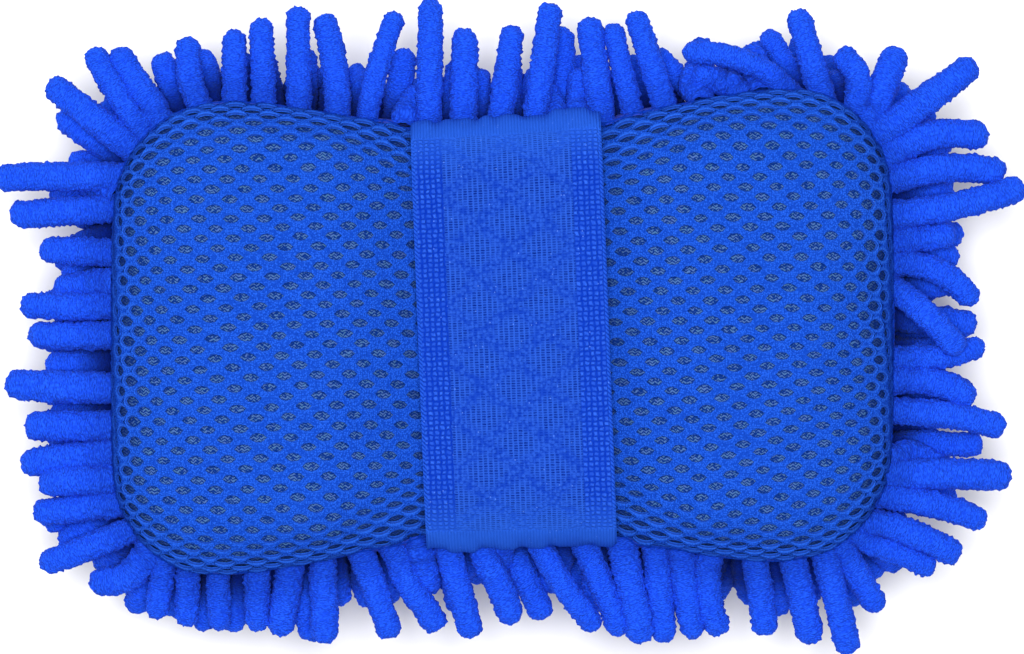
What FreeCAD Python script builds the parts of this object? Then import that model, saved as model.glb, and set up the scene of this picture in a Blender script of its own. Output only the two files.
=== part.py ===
import FreeCAD, Part
import math
import os

import Sketcher
from FreeCAD import Placement, Rotation, Vector

# Chenille wash pad with an elastic hand strap. The pad lies on its chenille fingers at z = 0, with
# the mesh face and the strap up. +X runs along the pad and +Y towards its back edge. The origin is
# under the middle of the pad. Lengths are in millimetres and angles in degrees.

DIMENSIONS = (
    ("pad_length", 206, "outside of the cloth, along X"),
    ("lobe_width", 124, "outside of the cloth at the two wide ends, along Y"),
    ("waist_width", 106, "outside of the cloth at its narrowest, under the strap"),
    ("waist_length", 120, "length of the hollow in each long side"),
    ("corner_radius", 30, "corners of the pad, seen from above"),
    ("lobe_radius", 55, "swell from each lobe into the waist, seen from above"),
    ("base_height", 20, "underside of the backing cloth"),
    ("top_height", 70, "top of the mesh away from the strap"),
    ("top_round", 18, "rounding of the upper edge"),
    ("base_round", 14, "rounding of the lower edge"),
    ("seam_height", 54.3, "middle of the rim seam"),
    ("seam_width", 1.0, "height of the rim seam's stitching"),
    ("seam_relief", 0.5, "how far the rim seam stands out from the cloth"),
    ("mesh_thickness", 1.0, "knitted mesh"),
    ("padding_thickness", 1.2, "grey layer under the mesh"),
    ("dish_depth", 8, "how far the pad is dished under the strap"),
    ("dish_length", 96, "length of the dish along X"),
    ("strap_width", 50, "elastic strap, along X"),
    ("strap_thickness", 1.3, "elastic strap"),
    ("strap_span", 114, "inside of the strap from end to end, along Y"),
    ("strap_round", 18.8, "inside of the strap's turn over the rim"),
    ("strap_height", 70.8, "underside of the strap"),
    ("strap_offset", 3, "middle of the strap, along X"),
    ("strap_turn", 2.2, "turn of the strap about Z from square to the pad"),
    ("strap_end_height", 53.8, "lower edge of the strap's sewn ends"),
    ("strap_tab_height", 57.8, "where the free strap leaves its sewn ends"),
    ("strap_side_height", 66, "where the strap's sides meet its band"),
    ("strap_parting", 0.2, "gap between the strap's band, sides and ends"),
    ("finger_diameter", 6.8, "chenille finger"),
    ("finger_tip_round", 2.6, "rounding of a finger's tip"),
    ("finger_standoff", 0.1, "gap between a finger and the backing cloth"),
    ("side_pitch", 7.9, "from finger to finger along a side row"),
    ("side_drop", 8.5, "from one side row to the next, over the cloth"),
    ("side_top", 50, "height of the highest side row"),
    ("base_pitch", 9, "from finger to finger on the base, both ways"),
    ("base_step", 0.5, "how much shorter than the next some base fingers are"),
)

# Side rows from the seam down: name, mean length of its fingers on the lobes, how much they vary,
# and how much longer they are at the pad's two ends and in its waist.
SIDE_ROWS = (
    ("rim", 20, 2.2, 6, 6.5),
    ("upper", 18.5, 2.5, 5.5, 5.5),
    ("middle", 17.5, 2.2, 4, 4),
    ("lower", 17, 2, 2.5, 3),
    ("edge", 19, 0.4, 0, 0),
)
BASE_ROWS = 9
LENGTH_STEPS = 4  # every fourth base finger reaches the floor, and the next three stop short of it
TURN_STEP = 2.4  # radians of the slow wave in the fingers' lengths from one finger to the next

TOLERANCE = 0.01  # edges this near to a line or level lie on it
CUT_MARGIN = 4  # how far a cutting form passes what it cuts
SKETCH_START = 100  # rough size of new sketch lines, before their dimensions move them

doc = FreeCAD.newDocument("WashPad")
sheet = doc.addObject("Spreadsheet::Sheet", "Dimensions")
for row, (alias, value, note) in enumerate(DIMENSIONS, start=1):
    sheet.set(f"A{row}", alias)
    sheet.set(f"B{row}", str(value))
    sheet.set(f"C{row}", note)
    sheet.setAlias(f"B{row}", alias)
doc.recompute()


def size(alias):
    """A driving dimension, read from the sheet."""
    return float(sheet.get(alias))


# Sketches and features


def attached_sketch(body, name, plane):
    """A sketch on one of its own body's origin planes."""
    sketch = body.newObject("Sketcher::SketchObject", name)
    planes = {feature.Role: feature for feature in body.Origin.OriginFeatures}
    sketch.AttachmentSupport = [(planes[plane], "")]
    sketch.MapMode = "FlatFace"
    return sketch


def add_dimension(sketch, name, kind, geometry, expression):
    """A named dimension of a sketch, tied to an expression."""
    index = sketch.addConstraint(Sketcher.Constraint(kind, *geometry, SKETCH_START))
    sketch.renameConstraint(index, name)
    sketch.setExpression(f"Constraints.{name}", expression)


def add_rectangle(sketch, length, width):
    """A rectangle about the sketch's origin."""
    half = SKETCH_START / 2
    corners = [Vector(-half, -half), Vector(half, -half), Vector(half, half), Vector(-half, half)]
    lines = [
        sketch.addGeometry(Part.LineSegment(start, end), False)
        for start, end in zip(corners, corners[1:] + corners[:1])
    ]
    for line, following in zip(lines, lines[1:] + lines[:1]):
        sketch.addConstraint(Sketcher.Constraint("Coincident", line, 2, following, 1))
    for direction, line in zip(("Horizontal", "Vertical") * 2, lines):
        sketch.addConstraint(Sketcher.Constraint(direction, line))
    sketch.addConstraint(Sketcher.Constraint("Symmetric", lines[0], 1, lines[2], 1, -1, 1))
    add_dimension(sketch, "length", "DistanceX", (lines[0], 1, lines[0], 2), length)
    add_dimension(sketch, "width", "DistanceY", (lines[1], 1, lines[1], 2), width)


def rough_circle(sketch, side):
    """A circle above or below the sketch's origin, still to be constrained."""
    centre = Vector(0, side * 3 * SKETCH_START, 0)
    return sketch.addGeometry(Part.Circle(centre, Vector(0, 0, 1), SKETCH_START), False)


def add_circle(sketch, radius, centre_height):
    """A circle centred straight above the sketch's origin. Its number is returned."""
    circle = rough_circle(sketch, 1)
    sketch.addConstraint(Sketcher.Constraint("PointOnObject", circle, 3, -2))
    add_dimension(sketch, "radius", "Radius", (circle,), radius)
    add_dimension(sketch, "centre", "DistanceY", (-1, 1, circle, 3), centre_height)
    return circle


def add_block(body, sketch, height):
    """Pads a sketch upwards."""
    block = body.newObject("PartDesign::Pad", sketch.Name + "_block")
    block.Profile = sketch
    block.setExpression("Length", height)


def cut_through(body, sketch):
    """Pockets a sketch both ways through the whole body."""
    pocket = body.newObject("PartDesign::Pocket", sketch.Name + "_cut")
    pocket.Profile = sketch
    pocket.SideType = "Symmetric"
    pocket.Type = "ThroughAll"


def round_edges(body, name, picks, radius):
    """Fillets those edges of the body's last feature that a test picks."""
    doc.recompute()
    base = body.Tip
    edges = [f"Edge{n}" for n, edge in enumerate(base.Shape.Edges, start=1) if picks(edge)]
    fillet = body.newObject("PartDesign::Fillet", f"{body.Name}_{name}")
    fillet.Base = (base, edges)
    fillet.setExpression("Radius", radius)


def upright(edge):
    """Does the edge run along Z?"""
    box = edge.BoundBox
    return box.XLength + box.YLength < TOLERANCE < box.ZLength


def level(edge, height):
    """Does the whole edge lie at this height?"""
    box = edge.BoundBox
    return abs(box.ZMin - height) < TOLERANCE and abs(box.ZMax - height) < TOLERANCE


# Operations on whole bodies


def boolean(kind, name, base, tool):
    """A Part::Cut or Part::Common of two objects."""
    result = doc.addObject(f"Part::{kind}", name)
    result.Base = base
    result.Tool = tool
    return result


def zone(name, low, high, half=None):
    """A box wider than the pad between two heights, over all of it or its front or back half."""
    box = doc.addObject("Part::Box", name)
    box.setExpression("Length", "2 * Dimensions.pad_length")
    box.setExpression("Width", "Dimensions.pad_length * " + ("2" if half is None else "1"))
    box.setExpression("Height", f"({high}) - ({low})")
    box.setExpression("Placement.Base.x", "-Dimensions.pad_length")
    box.setExpression("Placement.Base.y", "0" if half == "back" else "-Dimensions.pad_length")
    box.setExpression("Placement.Base.z", low)
    return box


# The pad: four nested forms give the layers


def pad_form(name, inset):
    """The pad with its skin moved inwards by an expression: two lobes, a waist and a dished top."""
    body = doc.addObject("PartDesign::Body", name)
    low, high = f"(Dimensions.base_height + ({inset}))", f"(Dimensions.top_height - ({inset}))"

    outline = attached_sketch(body, name + "_outline", "XY_Plane")
    outline.setExpression("AttachmentOffset.Base.z", low)
    add_rectangle(
        outline,
        f"Dimensions.pad_length - 2 * ({inset})",
        f"Dimensions.lobe_width - 2 * ({inset})",
    )
    add_block(body, outline, f"{high} - {low}")
    round_edges(body, "corners", upright, f"Dimensions.corner_radius - ({inset})")

    depth = "(Dimensions.lobe_width - Dimensions.waist_width) / 2"
    radius = f"((Dimensions.waist_length / 2)^2 + ({depth})^2) / (2 * {depth})"
    waist = attached_sketch(body, name + "_waist", "XY_Plane")
    back = add_circle(waist, f"{radius} + ({inset})", f"Dimensions.waist_width / 2 + {radius}")
    front = rough_circle(waist, -1)
    waist.addConstraint(Sketcher.Constraint("Equal", back, front))
    waist.addConstraint(Sketcher.Constraint("Symmetric", back, 3, front, 3, -1, 1))
    cut_through(body, waist)

    def waist_end(edge):
        half = size("waist_length") / 2 + CUT_MARGIN
        return upright(edge) and abs(edge.Vertexes[0].X) < half

    round_edges(body, "lobes", waist_end, f"Dimensions.lobe_radius - ({inset})")

    doc.recompute()
    box = body.Tip.Shape.BoundBox
    low_edge, high_edge = box.ZMin, box.ZMax
    top_radius = f"Dimensions.top_round - ({inset})"
    base_radius = f"Dimensions.base_round - ({inset})"
    round_edges(body, "top", lambda edge: level(edge, high_edge), top_radius)
    round_edges(body, "base", lambda edge: level(edge, low_edge), base_radius)

    depth = "Dimensions.dish_depth"
    radius = f"((Dimensions.dish_length / 2)^2 + {depth}^2) / (2 * {depth})"
    dish = attached_sketch(body, name + "_dish", "XZ_Plane")
    dish.setExpression("AttachmentOffset.Base.x", "Dimensions.strap_offset")
    add_circle(dish, f"{radius} + ({inset})", f"Dimensions.top_height - {depth} + {radius}")
    cut_through(body, dish)
    doc.recompute()
    return body


def pad_layers():
    """Foam core, padding, mesh, backing cloth and rim seam, and the outer form for the fingers."""
    seam = pad_form("seam_form", "-Dimensions.seam_relief")
    outside = pad_form("cloth_form", "0")
    under_mesh = pad_form("padding_form", "Dimensions.mesh_thickness")
    foam = pad_form("foam_core", "Dimensions.mesh_thickness + Dimensions.padding_thickness")

    mid, half = "Dimensions.seam_height", "Dimensions.seam_width / 2"
    above = zone("above_seam", mid, "Dimensions.top_height")
    below = zone("below_seam", "0", mid)
    at_seam = zone("at_seam", f"{mid} - {half}", f"{mid} + {half}")

    mesh = boolean("Cut", "mesh_layer", outside, under_mesh)
    padding = boolean("Cut", "padding_layer", under_mesh, foam)
    cloth = boolean("Cut", "cloth_layer", outside, foam)
    stitching = boolean("Cut", "seam_layer", seam, outside)
    layers = {
        "foam_core": foam,
        "padding_layer": boolean("Common", "padding_above", padding, above),
        "mesh_cover": boolean("Common", "mesh_above", mesh, above),
        "chenille_backing_cloth": boolean("Common", "cloth_below", cloth, below),
        "rim_seam": boolean("Common", "seam_stitching", stitching, at_seam),
    }
    return layers, outside


# The strap: an arch from the front rim to the back rim, parted into its ends, sides and band


def arch_form(name, growth, extra_width):
    """A block with two rounded upper edges: the inside of the strap, grown by an expression."""
    body = doc.addObject("PartDesign::Body", name)
    body.Placement = Placement(Vector(), Rotation(Vector(0, 0, 1), 1))
    body.setExpression("Placement.Rotation.Angle", "Dimensions.strap_turn")
    body.setExpression("Placement.Base.x", "Dimensions.strap_offset")
    outline = attached_sketch(body, name + "_outline", "XY_Plane")
    low = f"(Dimensions.base_height - {extra_width})"
    outline.setExpression("AttachmentOffset.Base.z", low)
    add_rectangle(
        outline,
        f"Dimensions.strap_width + {extra_width}",
        f"Dimensions.strap_span + 2 * ({growth})",
    )
    add_block(body, outline, f"Dimensions.strap_height + ({growth}) - {low}")
    doc.recompute()
    top = body.Tip.Shape.BoundBox.ZMax

    def upper_end(edge):
        return level(edge, top) and edge.BoundBox.XLength > edge.BoundBox.YLength

    round_edges(body, "turns", upper_end, f"Dimensions.strap_round + ({growth})")
    doc.recompute()
    return body


def strap_pieces():
    """The strap's band, its front and back sides and its front and back sewn ends."""
    outer = arch_form("strap_outside", "Dimensions.strap_thickness", 0)
    inner = arch_form("strap_inside", "0", CUT_MARGIN)
    arch = boolean("Cut", "strap_arch", outer, inner)
    gap = "Dimensions.strap_parting / 2"
    end, tab = "Dimensions.strap_end_height", "Dimensions.strap_tab_height"
    side, top = "Dimensions.strap_side_height", f"Dimensions.strap_height + {CUT_MARGIN}"
    band_zone = zone("band_zone", f"{side} + {gap}", top)
    pieces = {"strap_band": boolean("Common", "strap_middle", arch, band_zone)}
    for half in ("front", "back"):
        side_zone = zone(f"{half}_side_zone", f"{tab} + {gap}", f"{side} - {gap}", half)
        end_zone = zone(f"{half}_end_zone", end, f"{tab} - {gap}", half)
        pieces[f"strap_side_{half}"] = boolean("Common", f"{half}_side", arch, side_zone)
        pieces[f"strap_end_{half}"] = boolean("Common", f"{half}_end", arch, end_zone)
    return pieces


# The chenille fingers: rows round the sides and over the base


def finger(root, direction, length):
    """One finger from its root on the cloth, with a blunt round tip."""
    straight = Part.makeCylinder(size("finger_diameter") / 2, length)
    tip = [edge for edge in straight.Edges if level(edge, length)]
    solid = straight.makeFillet(size("finger_tip_round"), tip)
    start = root + direction * size("finger_standoff")
    solid.Placement = Placement(start, Rotation(Vector(0, 0, 1), direction))
    return solid


def side_row_place(number):
    """Height and dip, in radians, of a side row. Rows below the wall go round the lower edge."""
    radius = size("base_round")
    wall_foot = size("base_height") + radius
    height = size("side_top") - number * size("side_drop")
    if height >= wall_foot:
        return height, 0.0
    dip = (wall_foot - height) / radius
    return wall_foot - radius * math.sin(dip), dip


def side_name(normal):
    """The side of the pad that a level normal points to."""
    if abs(normal.x) > abs(normal.y):
        return "left" if normal.x < 0 else "right"
    return "front" if normal.y < 0 else "back"


def side_fingers(form):
    """The side rows' fingers by node, and the outline of the lowest row."""
    nodes = {}
    half_waist_length = size("waist_length") / 2
    for number, (row_name, mean, spread, end_growth, waist_growth) in enumerate(SIDE_ROWS):
        height, dip = side_row_place(number)
        outline = form.Shape.slice(Vector(0, 0, 1), height)[0]
        count = int(outline.Length / size("side_pitch"))
        half_steps = outline.discretize(Number=2 * count + 1)[:-1]
        roots = half_steps[number % 2 :: 2]  # each row stands between the fingers of the last
        for n, root in enumerate(roots):
            along = roots[(n + 1) % count] - roots[n - 1]
            normal = Vector(along.y, -along.x, 0).normalize()
            if normal.dot(root) < 0:
                normal = -normal
            direction = normal * math.cos(dip) - Vector(0, 0, math.sin(dip))
            variation = spread * math.sin(TURN_STEP * n + number)
            into_waist = max(0, 1 - abs(root.x) / half_waist_length) * abs(normal.y)
            length = mean + end_growth * abs(normal.x) + waist_growth * into_waist + variation
            node = f"fingers_{row_name}_{side_name(normal)}"
            nodes.setdefault(node, []).append(finger(root, direction, length))
    return nodes, outline


def base_fingers(edge_outline):
    """The base's rows of fingers, which point straight down inside the lowest side row."""
    nodes = {}
    pitch, height = size("base_pitch"), size("base_height")
    edge_outline.translate(Vector(0, 0, height - edge_outline.BoundBox.ZMin))
    region = Part.Face(edge_outline)
    half_count = int(size("pad_length") / 2 / pitch)
    for row in range(BASE_ROWS):
        y = (row - (BASE_ROWS - 1) / 2) * pitch
        for n in range(-half_count, half_count + 1):
            root = Vector(n * pitch, y, height)
            clear = Part.Vertex(root).distToShape(edge_outline)[0] > pitch
            if not (clear and region.isInside(root, TOLERANCE, True)):
                continue
            shortfall = size("base_step") * ((n + 2 * (row - BASE_ROWS // 2)) % LENGTH_STEPS)
            length = height - size("finger_standoff") - shortfall
            node = f"fingers_base_row_{row + 1}"
            nodes.setdefault(node, []).append(finger(root, Vector(0, 0, -1), length))
    return nodes


def main():
    """Builds every node, checks it and writes its STEP file."""
    layers, outside = pad_layers()
    nodes = {**layers, **strap_pieces()}
    doc.recompute()
    rows, edge_outline = side_fingers(outside)
    rows.update(base_fingers(edge_outline))
    for name, fingers in rows.items():
        feature = doc.addObject("Part::Feature", name)
        feature.Shape = Part.makeCompound(fingers)
        feature.Placement = Placement()
        nodes[name] = feature
    doc.recompute()

    for thing in doc.Objects:
        if {"Invalid", "Error"} & set(thing.State):
            raise RuntimeError(f"{thing.Name} failed: {thing.State}")
    for name, thing in nodes.items():
        thing.Label = name
        if thing.Shape.isNull() or not thing.Shape.isValid() or not thing.Shape.Solids:
            raise RuntimeError(f"{name} has no valid solid")

    os.makedirs("parts", exist_ok=True)
    for name, thing in nodes.items():
        thing.Shape.exportStep(f"parts/{name}.step")
        solids = len(thing.Shape.Solids)
        print(f"{name}: {solids} solids, {thing.Shape.Volume:.0f} cubic mm, {thing.Shape.BoundBox}")


main()
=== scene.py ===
import math
from collections import namedtuple

import bmesh
import bpy
import numpy as np
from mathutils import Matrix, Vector
from mathutils.bvhtree import BVHTree
from mathutils.kdtree import KDTree


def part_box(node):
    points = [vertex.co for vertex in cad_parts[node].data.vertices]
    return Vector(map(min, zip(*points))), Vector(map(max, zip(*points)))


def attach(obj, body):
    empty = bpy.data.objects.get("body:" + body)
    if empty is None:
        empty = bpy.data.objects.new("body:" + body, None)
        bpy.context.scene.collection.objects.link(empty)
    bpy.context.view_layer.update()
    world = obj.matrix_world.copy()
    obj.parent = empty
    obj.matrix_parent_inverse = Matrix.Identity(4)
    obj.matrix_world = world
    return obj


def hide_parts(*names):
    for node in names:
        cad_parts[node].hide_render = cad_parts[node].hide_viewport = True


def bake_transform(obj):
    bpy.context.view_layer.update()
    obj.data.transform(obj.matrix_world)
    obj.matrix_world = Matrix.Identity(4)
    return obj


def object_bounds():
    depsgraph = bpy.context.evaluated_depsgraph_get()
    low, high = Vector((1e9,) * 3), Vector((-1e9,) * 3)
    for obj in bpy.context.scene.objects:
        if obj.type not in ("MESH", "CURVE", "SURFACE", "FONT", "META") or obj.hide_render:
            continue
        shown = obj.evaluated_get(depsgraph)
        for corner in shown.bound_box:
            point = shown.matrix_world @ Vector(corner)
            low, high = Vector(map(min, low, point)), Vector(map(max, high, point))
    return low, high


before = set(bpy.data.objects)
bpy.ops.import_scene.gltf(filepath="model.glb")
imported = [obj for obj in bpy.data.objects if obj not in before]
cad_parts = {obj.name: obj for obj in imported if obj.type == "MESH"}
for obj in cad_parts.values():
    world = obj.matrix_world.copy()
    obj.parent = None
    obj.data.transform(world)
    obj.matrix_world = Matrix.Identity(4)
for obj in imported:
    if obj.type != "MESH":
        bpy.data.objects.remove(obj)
cad_box = [list(corner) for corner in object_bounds()]

# Chenille wash pad with an elastic hand strap, lying on its chenille fingers with the mesh face up.
# +X runs along the pad, +Y towards its back edge. Sizes are in metres, worked out with MM.
MM = 0.001
rng = np.random.default_rng(7)

# The pad's outline, seen from above: two lobes and a waist.
cloth_low, cloth_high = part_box("chenille_backing_cloth")
HALF_LENGTH = cloth_high.x
HALF_LOBE = cloth_high.y
HALF_WAIST = 53 * MM
HALF_WAIST_LENGTH = 60 * MM
CORNER_RADIUS = 30 * MM
LOBE_RADIUS = 55 * MM
SKEW = 0.024  # how far out of square the soft pad lies: its right end is further back than its left one

# Its section, from the top down.
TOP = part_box("mesh_cover")[1].z
SEAM = cloth_high.z
BASE = cloth_low.z
TOP_ROUND = 18 * MM
BASE_ROUND = 14 * MM

# The strap: an arch from the front rim to the back rim, turned a little from square.
band_low, band_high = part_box("strap_band")
STRAP_TURN = math.radians(2.2)
STRAP_CENTRE = (band_low.x + band_high.x) / 2
STRAP_WIDTH = 50 * MM
STRAP_TOP = band_high.z
STRAP_THICKNESS = 1.3 * MM
STRAP_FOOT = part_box("strap_end_front")[0].z
STRAP_HALF_SPAN = 57.4 * MM
STRAP_ROUND = 20.1 * MM

WEB_HEIGHT = 0.95 * MM  # of the mesh cover's face over the padding
FINGER_RADIUS = 3.3 * MM


# Numbers and noise


def smooth_step(low, high, value):
    """0 up to low, 1 from high, and a smooth rise between them."""
    t = np.clip((value - low) / (high - low), 0, 1)
    return t * t * (3 - 2 * t)


def corner_noise(cells, seed):
    """A number from 0 to 1 for each whole-number cell."""
    n = cells[:, 0] * 73856093 ^ cells[:, 1] * 19349663 ^ cells[:, 2] * 83492791 ^ seed * 40503
    n = (n ^ n >> 13) * 1274126177 & 0xFFFFFFFF
    n = (n ^ n >> 16) * 668265263 & 0xFFFFFFFF
    return (n & 0xFFFF) / 0xFFFF


def noise(points, cell, seed=0):
    """Smooth noise from -1 to 1 at points in space, with features as large as a cell."""
    scaled = np.asarray(points, float) / cell
    whole = np.floor(scaled).astype(np.int64)
    part = scaled - whole
    part = part * part * (3 - 2 * part)
    total = np.zeros(len(scaled))
    for corner in np.ndindex(2, 2, 2):
        weight = np.prod(np.where(corner, part, 1 - part), axis=1)
        total += weight * corner_noise(whole + corner, seed)
    return 2 * total - 1


def loop_area(points):
    """The area inside a loop of points in the plane."""
    x, y = points.T
    return abs(np.dot(x, np.roll(y, -1)) - np.dot(y, np.roll(x, -1))) / 2


def unit(vectors):
    """Vectors scaled to a length of one."""
    return vectors / np.linalg.norm(vectors, axis=-1, keepdims=True)


def running_length(points):
    """How far along a line of points each of them is."""
    return np.concatenate([[0], np.cumsum(np.linalg.norm(np.diff(points, axis=0), axis=1))])


# Meshes and materials


def add_object(name, data):
    """Puts an object that holds some data into the scene."""
    made = bpy.data.objects.new(name, data)
    bpy.context.scene.collection.objects.link(made)
    return made


def mesh_object(name, vertices, faces, material):
    """A smooth mesh object in the CAD's frame."""
    mesh = bpy.data.meshes.new(name)
    mesh.from_pydata(np.asarray(vertices).tolist(), [], [list(map(int, face)) for face in faces])
    mesh.validate()
    mesh.shade_smooth()
    mesh.materials.append(material)
    return add_object(name, mesh)


def tube_faces(rings, sides):
    """The faces between the rings of points of a tube, whose points follow each other ring by ring."""
    ring, around = np.meshgrid(np.arange(rings - 1) * sides, np.arange(sides), indexing="ij")
    following = (around + 1) % sides
    corners = (ring + around, ring + following, ring + sides + following, ring + sides + around)
    return np.stack(corners, -1).reshape(-1, 4)


def repeated_faces(faces, count, points_each):
    """The faces of a number of like meshes whose points follow each other."""
    offsets = np.arange(count)[:, None, None] * points_each
    return (faces[None] + offsets).reshape(-1, faces.shape[1])


def store(piece, name, kind, values):
    """Stores a number or a vector at each point of a piece, for its material."""
    stored = piece.data.attributes.new(name, kind, "POINT")
    key = "value" if kind == "FLOAT" else "vector"
    stored.data.foreach_set(key, np.asarray(values, np.float32).ravel())


def points_of(piece):
    """An object's vertices."""
    points = np.zeros(len(piece.data.vertices) * 3)
    piece.data.vertices.foreach_get("co", points)
    return points.reshape(-1, 3)


def move_points(piece, points):
    """Puts an object's vertices at new places."""
    piece.data.vertices.foreach_set("co", np.asarray(points, float).ravel())
    piece.data.update()


def bake_modifiers(piece):
    """Applies every modifier of an object to its mesh."""
    evaluated = piece.evaluated_get(bpy.context.evaluated_depsgraph_get())
    mesh = bpy.data.meshes.new_from_object(evaluated)
    piece.modifiers.clear()
    piece.data = mesh


class Shader:
    """A node material made with short calls. Inputs take numbers, colours or other nodes' outputs."""

    def __init__(self, name, roughness, **sockets):
        self.material = bpy.data.materials.new(name)
        self.material.use_nodes = True
        self.tree = self.material.node_tree
        self.bsdf = self.tree.nodes["Principled BSDF"]
        self.bsdf.inputs["Roughness"].default_value = roughness
        for socket, value in sockets.items():
            self.bsdf.inputs[socket.replace("_", " ")].default_value = value

    def node(self, kind, inputs=(), output=0, **settings):
        """Adds a node, sets it up and returns one of its outputs."""
        made = self.tree.nodes.new("ShaderNode" + kind)
        for name, value in settings.items():
            setattr(made, name, value)
        for socket, value in dict(inputs).items():
            self.feed(made.inputs[socket], value)
        return made.outputs[output]

    def feed(self, socket, value):
        """Links an output to a socket, or sets the socket's value."""
        if isinstance(value, bpy.types.NodeSocket):
            self.tree.links.new(value, socket)
        else:
            socket.default_value = value

    def place(self):
        """Where a point of the piece is, in metres."""
        return self.node("TexCoord", output="Object")

    def attribute(self, name, output="Vector"):
        """A value that the mesh stores at its points."""
        return self.node("Attribute", output=output, attribute_name=name)

    def noise(self, size, place=None, detail=2):
        """Noise with features of a size in metres, from about 0 to 1."""
        inputs = {"Scale": 1 / size, "Detail": detail, "Vector": place or self.place()}
        return self.node("TexNoise", inputs)

    def cells(self, size, place=None, randomness=1.0):
        """Distance from the middle of round cells of a size in metres, from 0 to about 1."""
        inputs = {"Scale": 1 / size, "Randomness": randomness, "Vector": place or self.place()}
        return self.node("TexVoronoi", inputs, "Distance")

    def math(self, operation, first, second=0.0, third=0.0):
        """A sum on two or three values."""
        inputs = {0: first, 1: second, 2: third}
        return self.node("Math", inputs, operation=operation)

    def times(self, first, second):
        """Two values multiplied."""
        return self.math("MULTIPLY", first, second)

    def absolute(self, value):
        """A value without its sign."""
        return self.math("ABSOLUTE", value)

    def axes(self, vector=None):
        """The X, Y and Z of a vector, or of a point's place if none is given."""
        outputs = self.node("SeparateXYZ", {"Vector": vector or self.place()}).node.outputs
        return outputs["X"], outputs["Y"], outputs["Z"]

    def count(self, value, pitch):
        """How many whole pitches there are in a value."""
        return self.math("FLOOR", self.math("DIVIDE", value, pitch))

    def triangle(self, value, pitch):
        """0 at every whole pitch, and 1 halfway between."""
        return self.math("DIVIDE", self.math("PINGPONG", value, pitch / 2), pitch / 2)

    def share(self, value, low, high, interpolation="LINEAR"):
        """0 up to low, 1 from high, and a rise between them."""
        inputs = {"Value": value, "From Min": low, "From Max": high}
        return self.node("MapRange", inputs, interpolation_type=interpolation)

    def ramp(self, value, low, high, first, second):
        """A smooth change from one colour or grey to another as a value goes from low to high."""
        return self.mix(self.share(value, low, high, "SMOOTHSTEP"), first, second)

    def mix(self, factor, first, second):
        """A mix of two colours or greys."""
        inputs = {0: factor, 6: rgba(first), 7: rgba(second)}
        return self.node("Mix", inputs, 2, data_type="RGBA")

    def bump(self, height, depth, normal=None):
        """A bump of a depth in metres, on top of another bump if one is given."""
        inputs = {"Height": height, "Distance": depth, "Strength": 1.0}
        if normal:
            inputs["Normal"] = normal
        return self.node("Bump", inputs)

    def finish(self, colour, normal=None):
        """Feeds the shader and returns the material."""
        self.feed(self.bsdf.inputs["Base Color"], colour)
        if normal:
            self.feed(self.bsdf.inputs["Normal"], normal)
        return self.material


def rgba(colour):
    """A colour with its alpha, a grey from one number, or an output as it is."""
    if isinstance(colour, bpy.types.NodeSocket):
        return colour
    return (*colour, 1.0) if isinstance(colour, tuple) else (colour, colour, colour, 1.0)


# Materials. Colours are linear.

RIB, DASH = 1.34 * MM, 0.65 * MM  # the strap's middle: its columns and the dashes in them
BEAD_WIDE, BEAD_LONG = 1.48 * MM, 1.30 * MM  # its side bands
DIAMOND_WIDE, DIAMOND_LONG = 16.8 * MM, 14.5 * MM


def chenille_material():
    """Microfibre terry: a dense granular pile whose loops lie round the finger."""
    sheen = {"Sheen_Weight": 0.06, "Sheen_Roughness": 0.4, "Sheen_Tint": (0.2, 0.4, 1.0, 1)}
    shader = Shader("chenille_pile", 0.95, Specular_IOR_Level=0.08, **sheen)
    wrapped = shader.attribute("pile")
    loops = shader.cells(0.8 * MM, wrapped)
    fibres = shader.noise(0.4 * MM, wrapped, detail=3)
    patches = shader.noise(9 * MM, detail=1)
    pile = shader.ramp(loops, 0.2, 0.75, (0.014, 0.108, 0.94), (0.002, 0.030, 0.50))
    pile = shader.mix(shader.times(fibres, 0.45), pile, (0.022, 0.138, 0.96))
    pile = shader.mix(shader.times(patches, 0.35), pile, (0.006, 0.068, 0.88))
    pile = shader.mix(shader.attribute("root_shade", "Fac"), pile, (0.0003, 0.006, 0.11))
    rough = shader.bump(fibres, 0.25 * MM)
    rough = shader.bump(shader.times(loops, -1.0), 0.45 * MM, rough)
    return shader.finish(pile, rough)


def mesh_material():
    """Fine warp knit with a stipple of small loops and firmer eyelet edges, painted highlight and shadow at
    the eyelets and painted shade down at the seam.
    """
    shader = Shader("mesh_knit", 0.9, Specular_IOR_Level=0.03)
    loops = shader.cells(0.55 * MM, randomness=0.8)
    fine = shader.noise(0.4 * MM)
    slow = shader.noise(22 * MM, detail=1)
    knit = shader.ramp(loops, 0.2, 0.65, (0.016, 0.108, 0.68), (0.002, 0.030, 0.30))
    knit = shader.mix(shader.times(fine, 0.5), knit, (0.010, 0.078, 0.58))
    knit = shader.mix(shader.times(slow, 0.3), knit, (0.006, 0.062, 0.46))
    edge = shader.attribute("hole_edge", "Fac")
    x, _, height = shader.axes()
    # Painted highlight: a lighter ring round each eyelet's edge, stronger low on the pad where the knit is
    # stretched over the rim.
    stretched = shader.ramp(height, TOP - 9 * MM, TOP - 3 * MM, 0.65, 0.2)
    rim = shader.times(shader.ramp(edge, 0.35, 0.85, 0, 1), stretched)
    knit = shader.mix(rim, knit, (0.022, 0.128, 0.70))
    # Painted shadow: darker where the web turns down into each eyelet.
    knit = shader.mix(shader.ramp(edge, 0.97, 0.9, 1, 0), knit, (0.010, 0.050, 0.34))
    # Painted shade: darker down towards the seam, more so at the pad's two ends.
    ends = shader.ramp(shader.absolute(x), 88 * MM, 98 * MM, 0.25, 0.7)
    shade = shader.ramp(height, SEAM + 1 * MM, SEAM + 9 * MM, ends, 0)
    knit = shader.mix(shade, knit, (0.001, 0.014, 0.17))
    rough = shader.bump(shader.times(loops, -1.0), 0.3 * MM)
    return shader.finish(knit, shader.bump(fine, 0.15 * MM, rough))


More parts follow.
